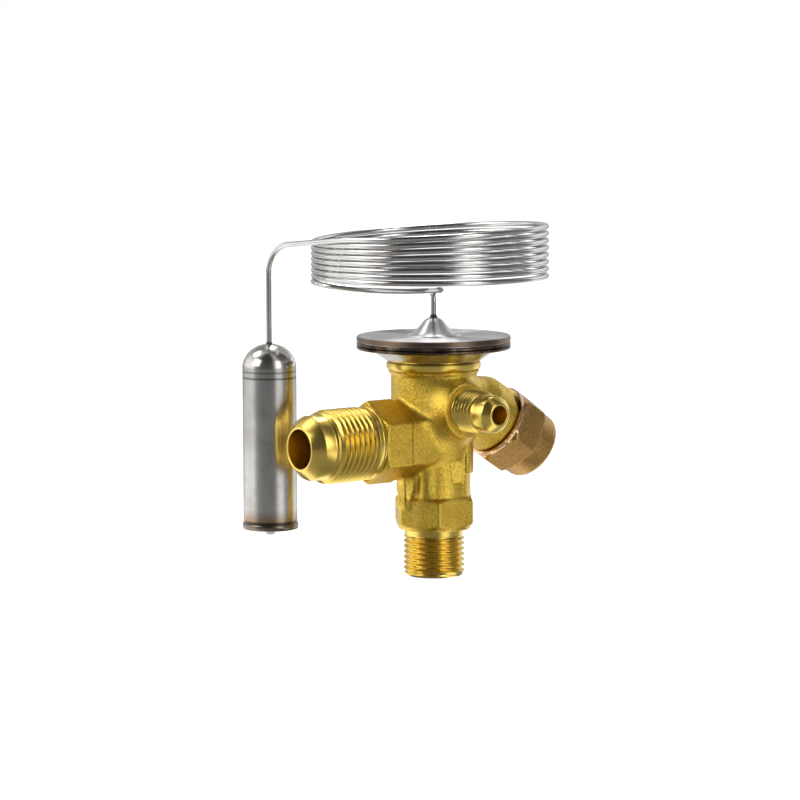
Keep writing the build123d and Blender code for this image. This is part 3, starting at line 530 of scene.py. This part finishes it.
def bezier(a, b, c, d, count):
    """Evenly spaced points along a curve, without its last one."""
    t = np.linspace(0, 1, count, endpoint=False)[:, None]
    a, b, c, d = (np.asarray(p, float) for p in (a, b, c, d))
    return a * (1 - t) ** 3 + 3 * b * t * (1 - t) ** 2 + 3 * c * t**2 * (1 - t) + d * t**3


def unit(v):
    """A vector's direction."""
    return v / np.linalg.norm(v)


steps = int(TURNS * STEPS_PER_TURN)
coil = np.array([coil_point(TURNS * n / steps) for n in range(steps + 1)])
first, last = unit(coil[1] - coil[0]), unit(coil[-1] - coil[-2])
loop_side = plan(LOOP_R, -LOOP_R * 0.4, LOOP_Z)
loop_front = plan(-LOOP_R * 1.4, -LOOP_R * 1.8, LOOP_Z)
over = BULB + UP * DROP_TOP_Z
bend = unit(over - coil[-1])
bend_start = over - bend * DROP_BEND_R
bend_end = BULB + UP * (DROP_TOP_Z - DROP_BEND_R)
route = np.vstack(
    [
        # out of the ferrule and round a small loop
        np.linspace((0, 0, FERRULE_TOP_Z), (0, 0, STUB_Z), 6, endpoint=False),
        bezier(
            (0, 0, STUB_Z),
            plan(-LOOP_R * 0.3, LOOP_R * 0.3, LOOP_Z),
            plan(LOOP_R * 0.8, LOOP_R * 0.6, LOOP_Z),
            loop_side,
            16,
        ),
        bezier(
            loop_side,
            plan(LOOP_R, -LOOP_R * 1.15, LOOP_Z),
            plan(-LOOP_R * 0.3, -LOOP_R * 1.1, LOOP_Z),
            loop_front,
            16,
        ),
        # out in one sweep to the coil's first turn
        bezier(
            loop_front,
            plan(-COIL_R * 0.45, -COIL_R * 0.36, LOOP_Z),
            coil[0] - first * COIL_R * 0.57,
            coil[0],
            40,
        ),
        coil[:-1],
        # off the last turn, over to the bulb and down into it
        bezier(
            coil[-1],
            coil[-1] + last * COIL_R * 0.2,
            bend_start - bend * COIL_R * 0.2,
            bend_start,
            14,
        ),
        bezier(
            bend_start,
            bend_start + bend * DROP_BEND_R * 0.55,
            bend_end + UP * DROP_BEND_R * 0.55,
            bend_end,
            18,
        ),
        np.linspace(bend_end, BULB + UP * BULB_TOP_Z, 12),
    ]
)
capillary = tube("capillary", route, TUBE_R, TUBE_SIDES)
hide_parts("capillary_tube")
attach(capillary, "housing")

# ------------------------------------------------------------------ bulb and ferrule, turned smooth
# The dome is half an ellipse that stops just short of its pole
dome = [
    (54.8 + 6.2 * math.sin(a), 7.0 * math.cos(a)) for a in np.linspace(0, math.pi / 2 - 0.08, 22)
]
bulb = turned(
    "bulb_shell",
    [
        (11.1, 0.02),
        (11.15, 0.7),
        (11.45, 1.2),
        (12.0, 1.42),
        (12.6, 1.5),
        (12.8, 1.9),
        (12.8, 6.9),
        (12.95, 7.18),
        (13.2, 7.25),
        (14.1, 7.25),
        (14.3, 7.18),
        (14.4, 7.02),
        (14.6, 7.0),
    ]
    + dome
    + [(61.0, 0.3)],
    tuple(BULB),
    (0, 0, 1),
    columns=128,
)
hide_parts("sensing_bulb")
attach(bulb, "housing")

ferrule = turned(
    "ferrule_cone",
    [
        (62.7, 7.12),
        (62.92, 7.12),
        (63.0, 7.0),
        (63.02, 5.95),
        (63.15, 5.6),
        (63.6, 5.05),
        (64.4, 4.3),
        (65.3, 3.5),
        (66.1, 2.85),
        (66.6, 2.4),
        (66.95, 1.9),
        (67.18, 1.3),
        (67.25, 0.55),
    ],
    (0, 0, 0),
    (0, 0, 1),
    columns=96,
    sharp=60,
)
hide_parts("capillary_ferrule")
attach(ferrule, "housing")


def bead(name, centre, radius, height, seed):
    """A small lump of braze round the tube."""
    rng = np.random.default_rng(seed)
    rows, columns, top_r = 10, 24, 0.55
    points = []
    wave = rng.uniform(0.75, 1.2, columns)
    wave = (wave + np.roll(wave, 1) + np.roll(wave, -1)) / 3
    angle = np.linspace(0, 2 * math.pi, columns, endpoint=False)
    for i in range(rows):
        t = i / (rows - 1)
        r = top_r + (radius - top_r) * (1 - t) ** 1.6
        r = r * (1 + (wave - 1) * (1 - t))
        z = height * t * (1 + 0.25 * (np.roll(wave, 5) - 1))
        ring = np.stack([np.cos(angle) * r, np.sin(angle) * r, z * np.ones(columns)], 1)
        points.append(ring + centre)
    obj = new_object(name, np.vstack(points), grid_faces(rows, columns))
    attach(obj, "housing")
    return obj


head_bead = bead("head_braze", np.array([0, 0, 67.15]), 1.25, 1.7, 3)
bulb_bead = bead("bulb_braze", BULB + UP * 60.8, 0.95, 1.4, 5)


# ------------------------------------------------------------------ materials
class Nodes:
    """A short way to write a metal's node tree. All noise scales are per metre."""

    def __init__(self, name):
        self.material = bpy.data.materials.new(name)
        self.material.use_nodes = True
        self.tree = self.material.node_tree
        self.shader = self.tree.nodes["Principled BSDF"]
        self.shader.inputs["Metallic"].default_value = 1.0

    def add(self, kind, links=(), **values):
        """Adds a node, sets its properties or sockets by name, and links sources to it."""
        node = self.tree.nodes.new(kind)
        for key, value in values.items():
            if hasattr(node, key):
                setattr(node, key, value)
            else:
                node.inputs[key.replace("_", " ")].default_value = value
        for socket, source in dict(links).items():
            self.tree.links.new(source, node.inputs[socket])
        return node

    def set(self, **sources):
        """Links sockets, or writes constant values, to the shader's own sockets."""
        for key, source in sources.items():
            socket = self.shader.inputs[key.replace("_", " ")]
            if isinstance(source, bpy.types.NodeSocket):
                self.tree.links.new(source, socket)
            else:
                socket.default_value = source

    def ramp(self, source, stops):
        """A colour ramp over a source."""
        node = self.tree.nodes.new("ShaderNodeValToRGB")
        while len(node.color_ramp.elements) < len(stops):
            node.color_ramp.elements.new(0.5)
        for element, (position, colour) in zip(node.color_ramp.elements, stops):
            element.position = position
            element.color = (*colour, 1.0)
        self.tree.links.new(source, node.inputs["Fac"])
        return node.outputs["Color"]

    def shade(self, source, low, high, colour, darker):
        """A colour that goes from a darker share of itself at low to itself at high."""
        return self.ramp(source, [(low, tuple(c * darker for c in colour)), (high, colour)])

    def mix(self, factor, a, b, blend_type="MIX"):
        """Mixes two colours. factor is a source or a constant."""
        node = self.tree.nodes.new("ShaderNodeMix")
        node.data_type = "RGBA"
        node.blend_type = blend_type
        if isinstance(factor, bpy.types.NodeSocket):
            self.tree.links.new(factor, node.inputs[0])
        else:
            node.inputs[0].default_value = factor
        self.tree.links.new(a, node.inputs[6])
        self.tree.links.new(b, node.inputs[7])
        return node.outputs[2]

    def coordinates(self):
        return self.add("ShaderNodeTexCoord").outputs["Object"]

    def radius(self, where):
        """The distance from the Z axis."""
        parts = self.add("ShaderNodeSeparateXYZ", {"Vector": where})
        links = {"X": parts.outputs[0], "Y": parts.outputs[1]}
        flat = self.add("ShaderNodeCombineXYZ", links).outputs[0]
        length = self.add("ShaderNodeVectorMath", {"Vector": flat}, operation="LENGTH")
        return length.outputs["Value"]

    def share(self, value, low, high):
        """A value's place between low and high, from 0 to 1."""
        node = self.add("ShaderNodeMapRange", {"Value": value}, From_Min=low, From_Max=high)
        return node.outputs[0]

    def noise(self, vector, scale, detail=2.0, rough=0.5):
        links = {"Vector": vector}
        values = {"Scale": scale, "Detail": detail, "Roughness": rough}
        return self.add("ShaderNodeTexNoise", links, **values).outputs["Fac"]

    def bump(self, height, strength, distance):
        links = {"Height": height}
        node = self.add("ShaderNodeBump", links, Strength=strength, Distance=distance)
        return node.outputs["Normal"]


def grainy_brass(name, light, dark, roughness, grain, strength):
    """Sand-blasted brass: patches of two tones under fine dark specks."""
    n = Nodes(name)
    where = n.coordinates()
    fine = n.noise(where, grain, 3.0, 0.6)
    patch = n.noise(where, 160.0, 3.0, 0.5)
    colour = n.ramp(patch, [(0.35, dark), (0.65, light)])
    speck = n.ramp(fine, [(0.36, (0.50, 0.47, 0.42)), (0.58, (1.0, 1.0, 1.0))])
    n.set(Base_Color=n.mix(0.80, colour, speck, "MULTIPLY"), Roughness=roughness)
    n.set(Normal=n.bump(fine, strength, 0.00025))
    return n.material


def turned_metal(name, colour, roughness, axis, grooves=2600.0, strength=0.05):
    """Metal with fine turning marks square to an axis (0 x, 1 y, 2 z)."""
    n = Nodes(name)
    where = n.coordinates()
    parts = n.add("ShaderNodeSeparateXYZ", {"Vector": where})
    wave = n.add("ShaderNodeCombineXYZ", {"X": parts.outputs[axis]})
    marks = n.noise(wave.outputs[0], grooves, 2.0, 0.7)
    patch = n.noise(where, 220.0, 2.0, 0.5)
    n.set(Base_Color=n.shade(patch, 0.3, 0.7, colour, 0.88), Roughness=roughness)
    n.set(Normal=n.bump(marks, strength, 0.0001))
    return n.material


TURNED_BRASS = (0.80, 0.58, 0.13)
forged = grainy_brass(
    "forged_brass", (0.88, 0.62, 0.10), (0.76, 0.51, 0.065), 0.36, 2400.0, 0.55
)
cap_brass = grainy_brass("cap_brass", (0.62, 0.36, 0.11), (0.52, 0.30, 0.09), 0.32, 2300.0, 0.55)
brass_x, brass_y, brass_z = (
    turned_metal(f"turned_brass_{letter}", TURNED_BRASS, 0.26, axis)
    for axis, letter in enumerate("xyz")
)
bright = turned_metal(
    "bright_steel", (0.60, 0.59, 0.58), 0.12, 2, grooves=400.0, strength=0.02
)


def bulb_steel():
    """Drawn steel with streaks along the bulb, a dark weld and scribed rings."""
    n = Nodes("bulb_steel")
    where = n.coordinates()
    squash = n.add("ShaderNodeVectorMath", {"Vector": where}, operation="MULTIPLY")
    squash.inputs[1].default_value = (1.0, 1.0, 0.04)
    streak = n.noise(squash.outputs[0], 900.0, 3.0, 0.6)
    patch = n.noise(where, 130.0, 4.0, 0.6)
    height = n.add("ShaderNodeSeparateXYZ", {"Vector": where}).outputs[2]
    level = n.share(height, 0.011, 0.061)  # from the bulb's foot to its top
    clean, tinted, black = (0.60, 0.59, 0.57), (0.38, 0.27, 0.17), (0.07, 0.06, 0.05)
    tint = n.ramp(patch, [(0.35, (0.80, 0.78, 0.75)), (0.65, (1.0, 1.0, 1.0))])
    # dark weld at the rim, heat colour above it, and scribed rings below the dome
    rings = n.ramp(
        level,
        [
            (0.000, (0.40, 0.38, 0.35)),
            (0.034, (0.20, 0.17, 0.14)),
            (0.064, (0.24, 0.20, 0.16)),
            (0.070, black),
            (0.080, black),
            (0.086, tinted),
            (0.150, clean),
            (0.820, clean),
            (0.826, black),
            (0.834, clean),
            (0.852, clean),
            (0.858, (0.16, 0.15, 0.14)),
            (0.864, clean),
        ],
    )
    n.set(Base_Color=n.mix(1.0, rings, tint, "MULTIPLY"), Roughness=0.20)
    n.set(Normal=n.bump(streak, 0.06, 0.0002))
    return n.material


def rim_steel():
    """Lower cover: bright near the body, dark and heat-tinted towards its welded rim."""
    n = Nodes("rim_steel")
    where = n.coordinates()
    around = n.noise(where, 260.0, 4.0, 0.65)
    tint = n.ramp(
        around,
        [(0.34, (0.05, 0.038, 0.03)), (0.52, (0.13, 0.085, 0.055)), (0.70, (0.30, 0.23, 0.17))],
    )
    bright = n.ramp(around, [(0.3, (0.58, 0.55, 0.50)), (0.7, (0.70, 0.68, 0.64))])
    outward = n.share(n.radius(where), 0.0176, 0.0188)
    n.set(Base_Color=n.mix(outward, bright, tint), Roughness=0.22)
    n.set(Normal=n.bump(around, 0.05, 0.0002))
    return n.material


def disc_steel(name, colour, roughness):
    """Steel faced off in rings round the Z axis, heat-tinted at its very edge."""
    n = Nodes(name)
    where = n.coordinates()
    radius = n.radius(where)
    ring = n.add("ShaderNodeCombineXYZ", {"X": radius})
    marks = n.noise(ring.outputs[0], 3000.0, 2.0, 0.7)
    patch = n.noise(where, 200.0, 4.0, 0.6)
    outward = n.share(radius, 0.0196, 0.01995)
    edge = n.ramp(outward, [(0.0, (1.0, 1.0, 1.0)), (1.0, (0.34, 0.24, 0.17))])
    tone = n.shade(patch, 0.3, 0.7, colour, 0.8)
    n.set(Base_Color=n.mix(1.0, tone, edge, "MULTIPLY"), Roughness=roughness)
    # the rings stretch a highlight square to themselves
    n.set(Anisotropic=0.9, Anisotropic_Rotation=0.25)
    round_z = n.add("ShaderNodeTangent", direction_type="RADIAL", axis="Z")
    n.set(Tangent=round_z.outputs[0], Normal=n.bump(marks, 0.16, 0.0001))
    return n.material


def plain(name, colour, roughness, metallic=1.0):
    """A plain finish with faint patches."""
    n = Nodes(name)
    tone = n.shade(n.noise(n.coordinates(), 400.0), 0.3, 0.7, colour, 0.85)
    n.set(Base_Color=tone, Roughness=roughness, Metallic=metallic)
    return n.material


def give(obj, *materials):
    """Gives an object these materials and no others."""
    obj.data.materials.clear()
    for material in materials:
        obj.data.materials.append(material)


copper = plain("soft_copper", (0.72, 0.36, 0.20), 0.30)
braze = plain("braze", (0.13, 0.085, 0.06), 0.40)
inner_steel = plain("inner_steel", (0.55, 0.55, 0.55), 0.30)

give(body, forged)
give(cap, cap_brass, plain("polished_copper_brass", (0.80, 0.52, 0.27), 0.16))
spindle_way = Vector(SPINDLE_DIR)
for face in cap.data.polygons:
    if (face.center - Vector((0, 0, SPINDLE_Z * MM))).dot(spindle_way) < POLISHED_TO * MM:
        face.material_index = 1
give(inlet, brass_z)
give(outlet, brass_x)
give(equalizer, brass_y)
give(stub, brass_x)
give(flange, brass_z)
give(capillary, bright)
give(bulb, bulb_steel())
give(ferrule, disc_steel("cone_steel", (0.74, 0.74, 0.74), 0.38))
give(head_bead, braze)
give(bulb_bead, braze)

by_slot = {
    "turned_brass": plain("inner_brass", (0.80, 0.60, 0.28), 0.30),
    "stainless": inner_steel,
    "bright_stainless": inner_steel,
    "spring_steel": inner_steel,
    "seal_rubber": plain("seal_rubber", (0.03, 0.03, 0.03), 0.5, 0.0),
    "copper_gasket": copper,
    "cap_brass": cap_brass,
    "forged_brass": forged,
}
slots = {s["node"]: s["material_slot"] for s in frame["record"]["subparts"]}
for node, obj in frame["nodes"].items():
    give(obj, by_slot[slots[node]])
give(frame["nodes"]["head_upper_cover"], disc_steel("disc_steel", (0.68, 0.67, 0.67), 0.50))
give(frame["nodes"]["head_lower_cover"], rim_steel())


# ------------------------------------------------------------------ floor, world, light, camera
def shader_nodes(tree):
    """Empties a node tree and gives a helper that adds a node and links or sets its sockets."""
    tree.nodes.clear()

    def add(kind, *inputs, **values):
        node = tree.nodes.new(kind)
        for key, value in values.items():
            setattr(node, key, value)
        for index, source in enumerate(inputs):
            if isinstance(source, bpy.types.NodeSocket):
                tree.links.new(source, node.inputs[index])
            else:
                node.inputs[index].default_value = source
        return node

    return add


def grey_ramp(add, source, stops):
    """A ramp of grey levels over a source."""
    node = add("ShaderNodeValToRGB", source)
    elements = node.color_ramp.elements
    while len(elements) < len(stops):
        elements.new(0.5)
    for element, (position, level) in zip(elements, stops):
        element.position = position
        element.color = (level, level, level, 1.0)
    return node.outputs[0]


# Studio panels round the object: 0.5 is the camera's side, above 0.5 its right
PANELS = [
    (0.00, 0.62),
    (0.12, 0.75),
    (0.17, 1.75),
    (0.295, 1.75),
    (0.345, 0.26),
    (0.40, 0.10),
    (0.56, 0.12),
    (0.59, 1.60),
    (0.645, 1.60),
    (0.675, 0.26),
    (0.81, 0.26),
    (0.845, 1.50),
    (0.92, 1.20),
    (0.96, 0.62),
    (1.00, 0.62),
]
OVERHEAD = [(0.0, 1.0), (0.36, 0.95), (0.66, 0.45), (1.0, 0.40)]  # dimmer towards the zenith


def panel_level(add, toward):
    """The level of the panel that a direction points to."""

    def part(way):
        node = add("ShaderNodeVectorMath", toward, tuple(way), operation="DOT_PRODUCT")
        return node.outputs["Value"]

    angle = add("ShaderNodeMath", part(ACROSS), part(-AWAY), operation="ARCTAN2").outputs[0]
    turn = add("ShaderNodeMapRange", angle, -math.pi, math.pi).outputs[0]
    return grey_ramp(add, turn, PANELS)


FLOOR_HALF = 3.0
FLOOR_DROP = 0.0002  # keeps the floor clear of the inlet's end face
corners = [(x * FLOOR_HALF, y * FLOOR_HALF, 0) for x, y in ((-1, -1), (1, -1), (1, 1), (-1, 1))]
floor_mesh = bpy.data.meshes.new("floor")
floor_mesh.from_pydata(corners, [], [(0, 1, 2, 3)])
floor = bpy.data.objects.new("floor", floor_mesh)
floor.location.z = -FLOOR_DROP
bpy.context.scene.collection.objects.link(floor)
floor_mat = bpy.data.materials.new("floor")
floor_mat.use_nodes = True
add = shader_nodes(floor_mat.node_tree)
rays = add("ShaderNodeLightPath").outputs
seen = add("ShaderNodeMath", rays["Is Camera Ray"], rays["Is Glossy Ray"], operation="MAXIMUM")
seen = add("ShaderNodeMath", seen.outputs[0], rays["Is Transmission Ray"], operation="MAXIMUM")
where = add("ShaderNodeTexCoord").outputs["Object"]
reach = add("ShaderNodeVectorMath", where, operation="LENGTH").outputs["Value"]
# mirrored in the metal, the floor carries the panels on and is brightest under the object
falloff = add("ShaderNodeMapRange", reach, 0.10, 0.55, 0.80, 0.30).outputs[0]
panels = panel_level(add, where)
falloff = add("ShaderNodeMath", falloff, panels, operation="MULTIPLY").outputs[0]
level = add("ShaderNodeMath", rays["Is Camera Ray"], falloff, operation="MAXIMUM").outputs[0]
pale = add("ShaderNodeBsdfDiffuse", (0.30, 0.30, 0.30, 1))
glow = add("ShaderNodeEmission", (1, 1, 1, 1), level)
both = add("ShaderNodeAddShader", pale.outputs[0], glow.outputs[0])
mixed = add("ShaderNodeMixShader", seen.outputs[0], pale.outputs[0], both.outputs[0])
add("ShaderNodeOutputMaterial", mixed.outputs[0])
floor.data.materials.append(floor_mat)

world = bpy.data.worlds.new("studio")
bpy.context.scene.world = world
world.use_nodes = True
add = shader_nodes(world.node_tree)
toward = add("ShaderNodeTexCoord").outputs["Generated"]
rise = add("ShaderNodeSeparateXYZ", toward).outputs["Z"]
overhead = grey_ramp(add, rise, OVERHEAD)
panels = panel_level(add, toward)
studio = add("ShaderNodeVectorMath", panels, overhead, operation="MULTIPLY").outputs[0]
lit = add("ShaderNodeBackground", studio, 0.95)
white = add("ShaderNodeBackground", (1, 1, 1, 1), 1.0)
rays = add("ShaderNodeLightPath").outputs
mixed = add("ShaderNodeMixShader", rays["Is Camera Ray"], lit.outputs[0], white.outputs[0])
add("ShaderNodeOutputWorld", mixed.outputs[0])


def soft_box(name, bearing, rise, distance, size, level):
    """A soft box at a bearing right of the camera and a rise, in degrees, and of a brightness."""
    light = bpy.data.lights.new(name, "AREA")
    light.shape = "RECTANGLE"
    light.size, light.size_y = size
    light.energy = level * math.pi * size[0] * size[1]
    bearing, rise = math.radians(bearing), math.radians(rise)
    outward = ACROSS * math.sin(bearing) - AWAY * math.cos(bearing)
    target = Vector((0, 0, 0.045))  # the object's middle
    obj = bpy.data.objects.new(name, light)
    obj.location = Vector((outward * math.cos(rise) + UP * math.sin(rise)) * distance) + target
    obj.rotation_euler = (obj.location - target).to_track_quat("Z", "Y").to_euler()
    bpy.context.scene.collection.objects.link(obj)


soft_box("key", -60, 27, 0.8, (0.40, 0.40), 2.9)
soft_box("fill", 42, 24, 0.8, (0.22, 0.45), 2.2)
soft_box("top", -105, 52, 0.8, (0.35, 0.30), 2.7)
soft_box("rear", 180, 56, 0.9, (0.22, 0.40), 10.0)

# The photograph's view: the camera stands back and up, and aims left of the valve's axis
CAMERA_BACK, CAMERA_UP = 875.0, 143.8
AIM_ACROSS, AIM_UP = -8.75, 45.8
CAMERA_ROLL = math.radians(-0.20)
camera_data = bpy.data.cameras.new("camera")
camera_data.lens = 152.46
camera_data.sensor_width = 36.0
camera_data.clip_end = 20.0
camera = bpy.data.objects.new("camera", camera_data)
bpy.context.scene.collection.objects.link(camera)
eye = (-AWAY * CAMERA_BACK + UP * CAMERA_UP) * MM
aim = (ACROSS * AIM_ACROSS + UP * AIM_UP) * MM
forward = unit(aim - eye)
right = unit(np.cross(forward, UP))
upward = np.cross(right, forward)
matrix = np.eye(4)
matrix[:3, 0] = right * math.cos(CAMERA_ROLL) + upward * math.sin(CAMERA_ROLL)
matrix[:3, 1] = -right * math.sin(CAMERA_ROLL) + upward * math.cos(CAMERA_ROLL)
matrix[:3, 2] = -forward
matrix[:3, 3] = eye
camera.matrix_world = Matrix(matrix.tolist())
scene = bpy.context.scene
scene.camera = camera
scene.view_settings.view_transform = "Standard"
